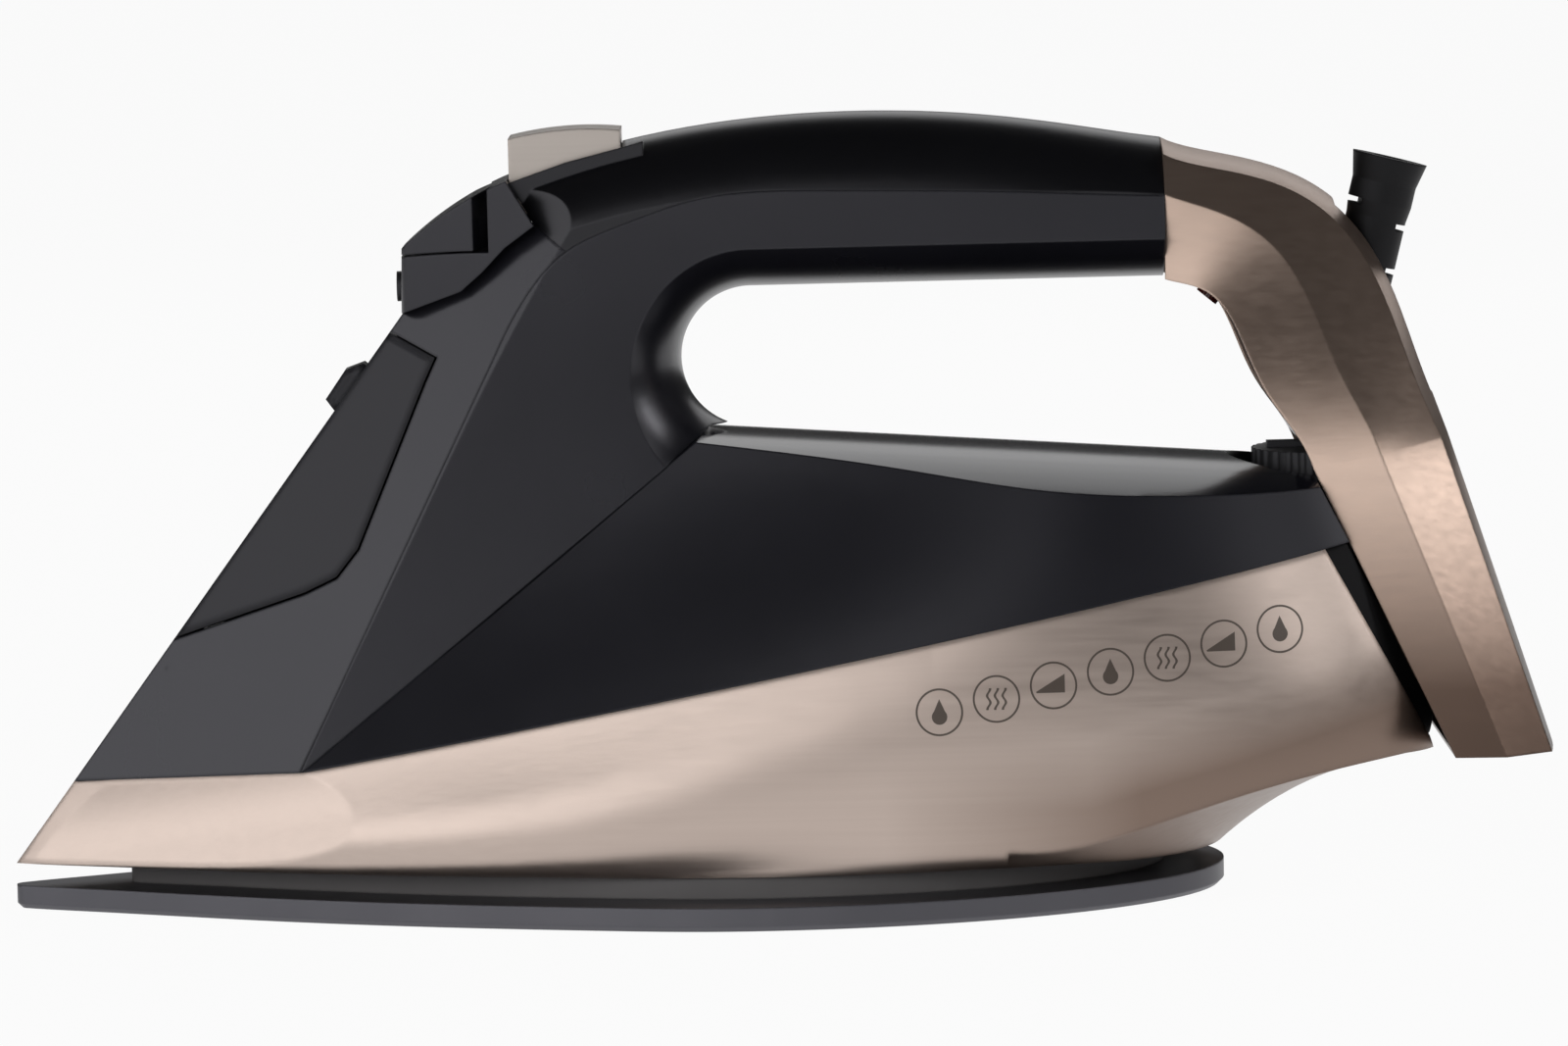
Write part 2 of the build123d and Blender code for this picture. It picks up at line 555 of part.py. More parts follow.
parts["soleplate"] = chamfer(sole.faces().sort_by(Axis.Z)[0].outer_wire().edges(), 1.0)

heater_z = SOLE_THICKNESS
casting = Pos(0, 0, heater_z) * extrude(sole_outline(15.0), amount=4.0)
leg_x_low = -70.0
leg_x_high = 62.0
leg_y = 20.0
tube_z = 11.0
tube_r = 3.6
near_end = (leg_x_low, -leg_y, tube_z)
far_end = (leg_x_low, leg_y, tube_z)
tube_path = [Line((leg_x_high, -leg_y, tube_z), near_end),
             ThreePointArc(near_end, (leg_x_low - leg_y, 0, tube_z), far_end),
             Line(far_end, (leg_x_high, leg_y, tube_z))]


def along_tube(radius):
    """Round bar along the heater's U-shaped path."""
    section = Plane(origin=(leg_x_high, -leg_y, tube_z), z_dir=(-1, 0, 0)) * Circle(radius)
    return sweep(section, path=Wire(tube_path))


rib = along_tube(5.6)
chamber = block(-58, 40, 13.0, heater_z + 1.0, heater_z + 11.0) - block(-55.5, 37.5, 10.5, heater_z + 6.0, 60)
casting = casting + (rib & block(-120, 61, 50, heater_z + 0.5, 40)) + chamber
casting -= [cylinder_at(v.position.X, v.position.Y, heater_z - 1, heater_z + 2.0, 1.2) for v in vents]
parts["heater_casting"] = casting - along_tube(tube_r)
element = along_tube(tube_r)
for side in (-1, 1):
    element += Pos(leg_x_high + 5, side * leg_y, tube_z) * (Rot(0, 90, 0) * Cylinder(1.4, 12))
parts["heating_element"] = element
cover = block(-58, 40, 13.0, heater_z + 11.0, heater_z + 12.6) - cylinder_at(LEVER_AXIS_X, 0, 0, 60, 4.0)
parts["steam_chamber_cover"] = cover
seal = cylinder_at(LEVER_AXIS_X, 0, heater_z + 11.0, 24.0, 4.0) - cylinder_at(LEVER_AXIS_X, 0, 0, 60, 2.2)
parts["drip_seal"] = seal

# Heat guard: the dark neck ring between sole and skirt
guard_plan = sole_outline(12.0) - sole_outline(14.5)
parts["heat_guard"] = Pos(0, 0, SOLE_THICKNESS) * extrude(guard_plan, amount=SKIRT_BOTTOM_Z - SOLE_THICKNESS)

# Water tank with the sleeve that the valve rod passes through
tank_side = [(-78.0, 26.0), (48.0, 26.0), (48.0, 80.0), (-8.0, 83.5)]
tank = third_hull & prism(tank_side)
tank_room = prism([(-70.0, 28.0), (46.0, 28.0), (46.0, 78.0), (-7.0, 81.0)], 60) & hull(3 * WALL)
rod_sleeve = cylinder_at(LEVER_AXIS_X, 0, 26.0, 48.0, 4.2) & prism(tank_side)
parts["water_tank"] = tank - tank_room + rod_sleeve - cylinder_at(LEVER_AXIS_X, 0, 0, 120, 2.6)
parts["water_tank"] -= funnel_axis * Cylinder(6.0, 46)

# Steam valve rod, lifted by the lever
parts["valve_rod"] = cylinder_at(LEVER_AXIS_X, 0, heater_z + 12.0, 123.0, 1.8)

# Buttons with their stems, springs and pumps
for name, side in (("burst", 1), ("spray", -1)):
    width = BUTTON_HALF_WIDTH - 0.3
    front_top = (BUTTON_FRONT_X, 0, BUTTON_TOP_Z - 1.6)
    rear_top = (BUTTON_REAR_X, 0, BUTTON_TOP_Z - 0.3)
    crown = ThreePointArc(front_top, (-39.5, 0, BUTTON_TOP_Z), rear_top)
    rear_foot = (BUTTON_REAR_X, 0, BUTTON_FOOT_Z + 4)
    rest = Polyline([rear_top, rear_foot, (BUTTON_FRONT_X, 0, BUTTON_FOOT_Z), front_top])
    cap = extrude(make_face([crown, rest]), amount=side * width, dir=(0, 1, 0))
    cap = Pos(0, side * 0.3, 0) * cap
    stem = cylinder_at(PUMP_X, side * PUMP_Y, PUMP_TOP_Z - 9, BUTTON_FOOT_Z + 4, STEM_R)
    parts[name + "_button"] = cap + stem
    pump = cylinder_at(PUMP_X, side * PUMP_Y, 92.0, PUMP_TOP_Z, PUMP_R)
    pump -= cylinder_at(PUMP_X, side * PUMP_Y, PUMP_TOP_Z - 14, PUMP_TOP_Z + 1, STEM_R + RUNNING_GAP)
    parts[name + "_pump"] = pump
    spring = cylinder_at(PUMP_X, side * PUMP_Y, PUMP_TOP_Z, BUTTON_FOOT_Z, 3.6)
    parts[name + "_spring"] = spring - cylinder_at(PUMP_X, side * PUMP_Y, 0, 200, 2.6)
pump_shelf = block(-50, -25, 15.0, 96.0, 98.5) & upper_in
for side in (-1, 1):
    pump_shelf -= cylinder_at(PUMP_X, side * PUMP_Y, 0, 200, PUMP_R)
parts["pump_shelf"] = pump_shelf - cylinder_at(LEVER_AXIS_X, 0, 0, 200, 2.6)

# Electrical pieces
thermostat = block(THERMOSTAT_X - 9, THERMOSTAT_X + 9, 8.0, heater_z + 4.8, 30.0)
thermostat += block(THERMOSTAT_X - 9, THERMOSTAT_X - 3, 8.0, heater_z + 4.0, heater_z + 5.0)
thermostat += cylinder_at(THERMOSTAT_X, 0, 29.0, 32.0, 4.5)
parts["thermostat"] = thermostat - cylinder_at(THERMOSTAT_X, 0, 30.5, 40, 2.5 + RUNNING_GAP)
parts["thermal_fuse"] = Pos(52, 0, heater_z + 6.6) * (Rot(0, 90, 0) * Cylinder(2.6, 16))
parts["terminal_block"] = block(128.0, 136.0, 12.0, 44.0, 58.0)
screw = cylinder_at(0, 0, 0, 10.0, 1.6) + cylinder_at(0, 0, 9.5, 11.5, 3.0)
spots = [(-100.0, 0.0), (30.0, -31.0), (30.0, 31.0)]
parts["sole_screws"] = Compound([Pos(x, y, heater_z + 2.0) * screw for x, y in spots])
casting_holes = [cylinder_at(x, y, heater_z + 2.0, 60, 1.6) for x, y in spots]
parts["heater_casting"] -= casting_holes

os.makedirs("parts", exist_ok=True)
for name, shape in parts.items():
    export_step(shape, f"parts/{name}.step")
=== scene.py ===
# %% [markdown]
# # Dressing a steam iron
# The solids of this iron come from a CAD frame, already in metres and in place. This lesson gives them
# their finishes, sets the light and the camera, and adds the few pieces that are easier to make here than
# in CAD. Every piece keeps riding on the body that it moves with.

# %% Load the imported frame
import math
import bmesh
import bpy
from mathutils import Matrix, Vector


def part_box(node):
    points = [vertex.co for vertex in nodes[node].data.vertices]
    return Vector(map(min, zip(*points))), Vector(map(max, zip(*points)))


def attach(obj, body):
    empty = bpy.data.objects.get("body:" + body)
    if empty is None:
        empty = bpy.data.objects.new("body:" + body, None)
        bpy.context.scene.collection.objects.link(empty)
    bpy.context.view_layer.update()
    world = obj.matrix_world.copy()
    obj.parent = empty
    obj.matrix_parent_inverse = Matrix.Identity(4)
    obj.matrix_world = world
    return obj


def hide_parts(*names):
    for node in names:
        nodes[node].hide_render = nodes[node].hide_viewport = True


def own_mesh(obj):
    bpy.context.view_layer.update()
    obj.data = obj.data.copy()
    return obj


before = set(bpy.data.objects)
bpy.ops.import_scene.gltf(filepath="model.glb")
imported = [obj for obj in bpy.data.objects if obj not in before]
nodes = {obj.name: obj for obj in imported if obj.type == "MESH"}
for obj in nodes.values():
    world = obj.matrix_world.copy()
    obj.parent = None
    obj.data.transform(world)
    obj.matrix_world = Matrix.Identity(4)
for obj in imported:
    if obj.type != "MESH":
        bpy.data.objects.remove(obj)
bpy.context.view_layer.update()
scene = bpy.context.scene
scene.view_settings.view_transform = "Standard"

# %% [markdown]
# ## Camera
# The iron is seen from its left side, from a little above the sole and with the frame turned by about a
# degree. A short lens close by would show it too, but would spread the near and the far edge of the sole.
# A long lens at 1.6 m keeps them close together, as they are in the picture, so that one was chosen.

# %% Long lens from the left side
CAMERA_DISTANCE = 1.6
CAMERA_RISE = math.radians(5.5)
CAMERA_ROLL = math.radians(-1.4)
CAMERA_AIM = Vector((0.00204, 0.0, 0.0734))
SENSOR_WIDTH_MM = 36.0
FOCAL_LENGTH_MM = 184.4

lens = bpy.data.cameras.new("side_lens")
lens.sensor_width = SENSOR_WIDTH_MM
lens.lens = FOCAL_LENGTH_MM
camera = bpy.data.objects.new("side_camera", lens)
scene.collection.objects.link(camera)
backward = Vector((0.0, -math.cos(CAMERA_RISE), math.sin(CAMERA_RISE)))
stand = Matrix.Translation(CAMERA_AIM + CAMERA_DISTANCE * backward)
look = (-backward).to_track_quat("-Z", "Y").to_matrix().to_4x4()
camera.matrix_world = stand @ look @ Matrix.Rotation(CAMERA_ROLL, 4, "Z")
scene.camera = camera
print("camera height:", round(camera.matrix_world.translation.z, 3))

# %% [markdown]
# ## Shader maths
# Lacquer, plastic and print all change a little from place to place, and nodes describe that. They could
# be wired one by one, but long chains are hard to read. A small class wraps a socket instead, so that sums
# read like sums, and one function makes every other node.

# %% Sockets that can be added and multiplied
class Wave:
    """A value socket that takes part in sums."""

    def __init__(self, tree, socket):
        self.tree = tree
        self.socket = socket

    def calc(self, operation, *values):
        node = self.tree.nodes.new("ShaderNodeMath")
        node.operation = operation
        for slot, value in zip(node.inputs, values):
            plug(self.tree, slot, value)
        return Wave(self.tree, node.outputs[0])

    def __add__(self, other):
        return self.calc("ADD", self, other)

    def __radd__(self, other):
        return self.calc("ADD", other, self)

    def __sub__(self, other):
        return self.calc("SUBTRACT", self, other)

    def __rsub__(self, other):
        return self.calc("SUBTRACT", other, self)

    def __mul__(self, other):
        return self.calc("MULTIPLY", self, other)

    def __rmul__(self, other):
        return self.calc("MULTIPLY", other, self)

    def __truediv__(self, other):
        return self.calc("DIVIDE", self, other)

    def __pow__(self, other):
        return self.calc("POWER", self, other)

    def __abs__(self):
        return self.calc("ABSOLUTE", self)

    def below(self, other):
        return self.calc("LESS_THAN", self, other)

    def above(self, other):
        return self.calc("GREATER_THAN", self, other)

    def least(self, other):
        return self.calc("MINIMUM", self, other)

    def most(self, other):
        return self.calc("MAXIMUM", self, other)

    def clamped(self):
        return self.most(0.0).least(1.0)


def plug(tree, slot, value):
    """Link a wrapped socket, or set a plain value."""
    if isinstance(value, Wave):
        tree.links.new(value.socket, slot)
    else:
        slot.default_value = value


def add_node(tree, kind, settings, values, out=0):
    """Any other node: its type, its settings first, then its sockets; gives the wrapped output."""
    node = tree.nodes.new(kind)
    for key, value in settings.items():
        setattr(node, key, value)
    for key, value in values.items():
        plug(tree, node.inputs[key], value)
    return Wave(tree, node.outputs[out])


print("shader sums ready")

# %% A finish that changes with the place on the iron
BEVEL_SAMPLES = 4
RELIEF_STRENGTH = 0.6


class Finish:
    """A Principled material whose surface changes with the place on the object."""

    def __init__(self, name):
        self.material = bpy.data.materials.new(name)
        self.material.use_nodes = True
        self.tree = self.material.node_tree
        self.shader = self.tree.nodes["Principled BSDF"]
        self.place = self.node("ShaderNodeTexCoord", {}, {}, "Object")

    def node(self, kind, settings, values, out=0):
        return add_node(self.tree, kind, settings, values, out)

    def set(self, **values):
        """Set or link the shader's sockets: base_color stands for Base Color, and so on."""
        for key, value in values.items():
            socket = key.replace("_", " ").title().replace("Ior", "IOR")
            plug(self.tree, self.shader.inputs[socket], value)
        return self

    def stretched(self, factors):
        settings = {"operation": "MULTIPLY"}
        return self.node("ShaderNodeVectorMath", settings, {0: self.place, 1: factors})

    def grain(self, where, scale, detail=3.0):
        values = {"Vector": where, "Scale": scale, "Detail": detail}
        return self.node("ShaderNodeTexNoise", {}, values)

    def blend(self, share, first, second):
        values = {0: share, 6: first, 7: second}
        return self.node("ShaderNodeMix", {"data_type": "RGBA"}, values, 2)

    def axis(self, index):
        return self.node("ShaderNodeSeparateXYZ", {}, {0: self.place}, index)

    def soften(self, radius, height=None, depth=0.0):
        """Round the edges in the shading, with an optional relief on top."""
        normal = self.node("ShaderNodeBevel", {"samples": BEVEL_SAMPLES}, {"Radius": radius})
        if height is not None:
            values = {"Height": height, "Distance": depth, "Strength": RELIEF_STRENGTH, "Normal": normal}
            normal = self.node("ShaderNodeBump", {}, values)
        return self.set(normal=normal)


def opaque(tone):
    """A tone of three numbers as a colour of four."""
    return tone + (1.0,)


print("finishes round their edges with", BEVEL_SAMPLES, "samples")

# %% [markdown]
# ## Floor
# The iron stands on pale paper. A bent sheet could be modelled behind it, but a flat floor that reaches the
# horizon does the same with one face. Most of what the camera and the reflections see of it is plain white,
# and the rest is a matt surface that keeps the soft shadow.

# %% Paper floor
FLOOR_SIZE = 40.0
FLOOR_PLACE = (0.0, 6.0, -0.0003)
PAPER_TONE = (0.86, 0.86, 0.86, 1.0)
PAPER_ROUGH = 0.9
WHITE_SHARE = 0.95

bpy.ops.mesh.primitive_plane_add(size=FLOOR_SIZE, location=FLOOR_PLACE)
floor = bpy.context.object
floor.name = "paper_floor"
paper = bpy.data.materials.new("paper")
paper.use_nodes = True
tree = paper.node_tree
plain = tree.nodes["Principled BSDF"]
plain.inputs["Base Color"].default_value = PAPER_TONE
plain.inputs["Roughness"].default_value = PAPER_ROUGH
seen = add_node(tree, "ShaderNodeLightPath", {}, {}, "Is Camera Ray")
for kind in ("Is Glossy Ray", "Is Transmission Ray"):
    seen = seen.most(add_node(tree, "ShaderNodeLightPath", {}, {}, kind))
white = add_node(tree, "ShaderNodeEmission", {}, {"Color": (1.0, 1.0, 1.0, 1.0)})
surfaces = {0: seen * WHITE_SHARE, 1: Wave(tree, plain.outputs[0]), 2: white}
mixed = add_node(tree, "ShaderNodeMixShader", {}, surfaces)
plug(tree, tree.nodes["Material Output"].inputs["Surface"], mixed)
floor.data.materials.append(paper)
print("floor at", floor.location.z)

# %% [markdown]
# ## Room and soft panels
# A polished body shows what stands round it. A picture of a studio could light the scene, but a plain room
# and a few panels are easier to steer. The walls are paler than the ceiling, the side behind the iron is the
# palest, and that gives the black shells their slow gradients. The wide panel stands left of the camera and
# lights the champagne; three smaller ones to the right and behind only lift edges.

# %% Room light
ROOM_STRENGTH = 0.42
WALL_GAIN = 0.22
BACK_GAIN = 0.4
CEILING_START = 0.66
CEILING_FADE = 3.0

room = bpy.data.worlds.new("studio_room")
scene.world = room
room.use_nodes = True
tree = room.node_tree
sky = tree.nodes["Background"]
way = add_node(tree, "ShaderNodeTexCoord", {}, {}, "Generated")
behind = add_node(tree, "ShaderNodeSeparateXYZ", {}, {0: way}, "Y").most(0.0)
rise = add_node(tree, "ShaderNodeSeparateXYZ", {}, {0: way}, "Z")
walls = ((CEILING_START - rise) * CEILING_FADE).clamped()
plug(tree, sky.inputs["Strength"], ROOM_STRENGTH + WALL_GAIN * walls + BACK_GAIN * behind)
print("world:", room.name)

# %% Soft panels
IRON_MIDDLE = (0.0, 0.0, 0.08)
COLUMN_MIDDLE = (0.13, 0.0, 0.075)
# name: place, aim, width, height, watts
PANELS = {
    "left_box": ((-1.30, -1.39, 0.72), IRON_MIDDLE, 3.1, 1.15, 22.0),
    "right_box": ((1.24, -1.38, 0.80), IRON_MIDDLE, 0.8, 0.7, 3.5),
    "strip_box": ((1.34, -0.37, 0.70), COLUMN_MIDDLE, 0.34, 0.5, 3.2),
    "back_box": ((0.3, 1.6, 1.0), IRON_MIDDLE, 1.6, 0.9, 4.5),
}


def panel(name, place, aim, width, height, watts):
    """A soft box that looks at a point."""
    data = bpy.data.lights.new(name, "AREA")
    data.shape = "RECTANGLE"
    data.size = width
    data.size_y = height
    data.energy = watts
    lamp = bpy.data.objects.new(name, data)
    scene.collection.objects.link(lamp)
    turned = (Vector(aim) - Vector(place)).to_track_quat("-Z", "Y")
    lamp.matrix_world = Matrix.Translation(Vector(place)) @ turned.to_matrix().to_4x4()


for name, setting in PANELS.items():
    panel(name, *setting)

# %% [markdown]
# ## Black plastics
# The upper body is moulded in gloss black, the boot is rubber, and the pieces inside are satin. One even
# black would do, but it looks like a void. So each black gets a faint mottling of tone and roughness and a
# fine relief. The deck is polished on top and duller on its sides, which its normal tells apart.

# %% How a black is made
CLOUD_SCALE = 45.0
SPECK_SCALE = 900.0
SPECK_DEPTH = 0.00001
CLOUD_GAIN = 1.5
CLOUD_ROUGH = 0.05
COOL_TINT = (0.94, 0.93, 1.0, 1.0)
TOP_START = 0.75
TOP_FADE = 5.0


def black_plastic(name, tone, rough, edge=0.0006, level=0.5, top=None):
    """Moulded plastic or rubber; top is the roughness of the faces that look up."""
    finish = Finish(name)
    cloud = finish.grain(finish.place, CLOUD_SCALE)
    speck = finish.grain(finish.place, SPECK_SCALE, 1.0)
    colour = finish.blend(cloud, opaque(tone), opaque(tuple(CLOUD_GAIN * c for c in tone)))
    if top:
        normal = finish.node("ShaderNodeTexCoord", {}, {}, "Normal")
        upward = finish.node("ShaderNodeSeparateXYZ", {}, {0: normal}, 2)
        rough = rough + (top - rough) * ((upward - TOP_START) * TOP_FADE).clamped()
    finish.set(base_color=colour, roughness=rough + CLOUD_ROUGH * cloud)
    finish.set(specular_ior_level=level, specular_tint=COOL_TINT)
    return finish.soften(edge, speck, SPECK_DEPTH)


print("mottling of about", round(1000.0 / CLOUD_SCALE), "mm")

# %% Gloss, satin and rubber blacks
body_black = black_plastic("body_black", (0.008, 0.008, 0.011), 0.24)
deck_black = black_plastic("deck_black", (0.007, 0.007, 0.010), 0.34, level=0.34, top=0.12)
handle_black = black_plastic("handle_black", (0.004, 0.004, 0.005), 0.26)
nose_black = black_plastic("nose_black", (0.008, 0.008, 0.011), 0.24, edge=0.0009)
smoke_door = black_plastic("smoke_door", (0.008, 0.008, 0.010), 0.16, edge=0.0024, level=0.27)
satin_black = black_plastic("satin_black", (0.012, 0.012, 0.013), 0.45)
boot_rubber = black_plastic("boot_rubber", (0.004, 0.004, 0.004), 0.5, level=0.22)
matte_black = black_plastic("matte_black", (0.004, 0.004, 0.004), 0.6, level=0.2)
guard_plastic = black_plastic("guard_plastic", (0.115, 0.110, 0.108), 0.5)
print("blacks:", body_black.material.name, handle_black.material.name)

# %% [markdown]
# ## Champagne lacquer
# The skirt, the rear column and the buttons carry a metallic lacquer with fine lines along the iron. The
# shader's own anisotropy could give such lines, but the export keeps only what is baked. Noise that is
# stretched along X gives them to the colour, the roughness and the relief alike. Two broad bends of the
# shells, too slight to show in the outline, ride on the same relief.

# %% Bends of the column and the skirt
COLUMN_BEND_START = 0.082
COLUMN_BEND_HEIGHT = 0.032
COLUMN_BEND_CURVE = 16.0
SKIRT_LINE_RISE = 0.19
SKIRT_LINE_HEIGHT = 0.0365
SKIRT_FRONT_END = 0.03
SKIRT_FRONT_FADE = 14.0
SKIRT_BEND_CURVE = 20.0


def column_bend(finish):
    """The column's sides roll over towards the top of the handle."""
    lift = (finish.axis(2) - COLUMN_BEND_START).most(0.0)
    bent = lift.least(COLUMN_BEND_HEIGHT)
    return (bent - 2.0 * lift) * bent * COLUMN_BEND_CURVE


def skirt_bend(finish):
    """The front of the skirt stands up straighter below the black shell."""
    lift = (finish.axis(2) - SKIRT_LINE_RISE * finish.axis(0) - SKIRT_LINE_HEIGHT).most(0.0)
    front = ((SKIRT_FRONT_END - finish.axis(0)) * SKIRT_FRONT_FADE).clamped()
    return lift * lift * front * SKIRT_BEND_CURVE


print("column bends from", COLUMN_BEND_START, "m up")

# %% Brushed champagne
LINE_STRETCH = (4.0, 900.0, 900.0)
SLOW_STRETCH = (3.0, 30.0, 30.0)
LINE_DETAIL = 2.0
LINE_SHARE = 0.7
SLOW_SHARE = 0.3
LINE_DEPTH = 0.00002
LACQUER_METAL = 0.85
LACQUER_ROUGH = 0.30
LINE_ROUGH = 0.12


def champagne(name, light, dark, bend=None, edge=0.0007):
    """Metallic lacquer; gives the finish and its colour, so that painted shade and print can go on top."""
    finish = Finish(name)
    lines = finish.grain(finish.stretched(LINE_STRETCH), 1.0, LINE_DETAIL)
    slow = finish.grain(finish.stretched(SLOW_STRETCH), 1.0, LINE_DETAIL)
    colour = finish.blend(lines * LINE_SHARE + slow * SLOW_SHARE, opaque(dark), opaque(light))
    finish.set(base_color=colour, metallic=LACQUER_METAL, roughness=LACQUER_ROUGH + LINE_ROUGH * lines)
    relief = lines * LINE_DEPTH
    if bend:
        relief = relief + bend(finish)
    return finish.soften(edge, relief, 1.0), colour


skirt_champagne, skirt_colour = champagne(
    "skirt_champagne", (0.60, 0.50, 0.445), (0.51, 0.415, 0.365), skirt_bend, 0.002)
column_champagne, column_colour = champagne(
    "column_champagne", (0.52, 0.40, 0.335), (0.44, 0.325, 0.262), column_bend)
button_champagne, _ = champagne(
    "button_champagne", (0.54, 0.49, 0.45), (0.47, 0.42, 0.385))
print("champagne:", skirt_champagne.material.name, column_champagne.material.name)

# %% [markdown]
# ## Painted shade low on the lacquer
# The foot of the column and the low stern of the skirt are darker than the rest. Dark cards beside the iron
# could do that, but they would also darken the floor and the black shells. So the shade is painted into the
# lacquer's colour as a fade that stands for the dark reflections there, and it stays where it belongs.

# %% Painted shade at the foot of the column and along the stern
# Painted shade: dark brown tones that stand for dark reflections, not the lacquer's own colour.
FOOT_PAINTED_SHADE = (0.085, 0.054, 0.040, 1.0)
FOOT_SHADE_SHARE = 0.95
FOOT_SHADE_HEIGHT = 0.041
FOOT_SHADE_FADE = 26.0
KEEL_PAINTED_SHADE = (0.19, 0.13, 0.10, 1.0)
KEEL_SHADE_SHARE = 0.88
KEEL_SHADE_HEIGHT = 0.0343
KEEL_SHADE_RISE = 0.28
KEEL_SHADE_RISE_START = 0.06
KEEL_SHADE_FADE = 75.0
STERN_SHADE_START = 0.02
STERN_SHADE_FADE = 20.0

# Painted shade: the column's colour fades to a dark brown towards its foot.
foot_shade = 1.0 - ((column_champagne.axis(2) - FOOT_SHADE_HEIGHT) * FOOT_SHADE_FADE).clamped()
column_colour = column_champagne.blend(FOOT_SHADE_SHARE * foot_shade, column_colour, FOOT_PAINTED_SHADE)
column_champagne.set(base_color=column_colour)
# Painted shade: the skirt's colour fades to a dark brown below a line that rises towards the stern.
stern_shade = ((skirt_champagne.axis(0) - STERN_SHADE_START) * STERN_SHADE_FADE).clamped()
keel_shade_line = KEEL_SHADE_HEIGHT + KEEL_SHADE_RISE * (skirt_champagne.axis(0) - KEEL_SHADE_RISE_START).most(0.0)
low = ((keel_shade_line - skirt_champagne.axis(2)) * KEEL_SHADE_FADE).clamped()
skirt_colour = skirt_champagne.blend(KEEL_SHADE_SHARE * stern_shade * low, skirt_colour, KEEL_PAINTED_SHADE)
print("fades end at", FOOT_SHADE_HEIGHT, "m on the column and", KEEL_SHADE_HEIGHT, "m on the skirt")

# %% [markdown]
# ## Printed signs on the skirt
# A row of small round signs is printed along the rising edge of the skirt. They could be decals, but a print
# has no thickness, so a mask in the skirt's own colour is truer. The signs are plain: a drop, steam and a
# wedge, in turn. All their measures are in millimetres from the middle of each sign.

# %% Where the signs sit
MM_PER_M = 1000.0
SIGN_START = (31.2, 40.7)
SIGN_STEP = (11.1, 2.3)
SIGN_COUNT = 7
SIGN_RADIUS = 4.4
RING_HALF_WIDTH = 0.2
NEAR_SIDE = -0.02

along = skirt_champagne.axis(0) * MM_PER_M
height = skirt_champagne.axis(2) * MM_PER_M
near_side = skirt_champagne.axis(1).below(NEAR_SIDE)
turn = (along - SIGN_START[0]) / SIGN_STEP[0]
turn = turn.calc("ROUND", turn).most(0.0).least(SIGN_COUNT - 1.0)
x = along - SIGN_START[0] - turn * SIGN_STEP[0]
z = height - SIGN_START[1] - turn * SIGN_STEP[1]
radius = (x * x + z * z) ** 0.5
ring = abs(radius - SIGN_RADIUS).below(RING_HALF_WIDTH)
print("signs:", SIGN_COUNT, "of", 2 * SIGN_RADIUS, "mm")

# %% Drop, steam and wedge
BULB_HEIGHT = -0.9
BULB_RADIUS = 1.5
TIP_START = -0.6
TIP_SLOPE = 0.45
TIP_HALF_WIDTH = 1.15
PLUME_WAVES = 2.4
PLUME_SWING = 0.3
PLUME_STEP = 1.5
PLUME_HALF_WIDTH = 0.24
PLUME_HALF_HEIGHT = 2.1
WEDGE_FOOT = -1.4
WEDGE_SLOPE = 0.6
WEDGE_LIFT = 0.9
WEDGE_END = 2.2

bulb = (x * x + (z - BULB_HEIGHT) * (z - BULB_HEIGHT)) ** 0.5
tip = z.above(TIP_START) * (abs(x) + TIP_SLOPE * z).below(TIP_HALF_WIDTH)
drop = bulb.below(BULB_RADIUS).most(tip)
sway = z * PLUME_WAVES
plume = abs(x + PLUME_SWING * sway.calc("SINE", sway))
plumes = plume.least(abs(plume - PLUME_STEP)).below(PLUME_HALF_WIDTH)
steam = plumes * abs(z).below(PLUME_HALF_HEIGHT)
wedge = z.above(WEDGE_FOOT) * (z - WEDGE_SLOPE * x).below(WEDGE_LIFT) * x.below(WEDGE_END)
print("drop of", 2 * BULB_RADIUS, "mm, wedge up to", WEDGE_END, "mm from the middle")

# %% Print them
SIGN_INK = (0.11, 0.085, 0.07, 1.0)
SIGN_ROOM = 3.6
INK_OVER_METAL = 0.7

kind = turn.calc("MODULO", turn, 3.0)
sign = kind.below(0.5) * drop + abs(kind - 1.0).below(0.5) * steam + kind.above(1.5) * wedge
ink = ring.most(sign * radius.below(SIGN_ROOM)) * near_side
# The signs are printed over the lacquer colour, which already holds the painted shade of the stern.
printed = skirt_champagne.blend(ink, skirt_colour, SIGN_INK)
skirt_champagne.set(base_color=printed, metallic=LACQUER_METAL - INK_OVER_METAL * ink)
print("printed on", skirt_champagne.material.name)

# %% [markdown]
# ## Metals and clear pieces
# The sole has a grey coating, the heater is bare casting, pins and springs are steel, the tank is clear and
# the lens of the pilot lamp is a dark red. Clear pieces could be real glass, but both sit in dark hollows
# where light hardly gets through, so a glossy tone looks the same and needs no extra light paths.

# %% Sole, castings and steel
METAL_EDGE = 0.0006
METAL_CLOUD_ROUGH = 0.12
METAL_SHARE = 0.9


def metal(name, light, dark, rough, scale):
    """Cloudy metal with softened edges."""
    finish = Finish(name)
    cloud = finish.grain(finish.place, scale)
    colour = finish.blend(cloud, opaque(dark), opaque(light))
    finish.set(base_color=colour, metallic=METAL_SHARE, roughness=rough + METAL_CLOUD_ROUGH * cloud)
    return finish.soften(METAL_EDGE)


sole_grey = metal("sole_grey", (0.125, 0.123, 0.137), (0.095, 0.094, 0.106), 0.38, 60.0)
bare_casting = metal("bare_casting", (0.62, 0.62, 0.63), (0.45, 0.45, 0.46), 0.45, 220.0)
plain_steel = metal("plain_steel", (0.62, 0.62, 0.63), (0.5, 0.5, 0.51), 0.3, 150.0)
print("metals:", sole_grey.material.name, bare_casting.material.name, plain_steel.material.name)

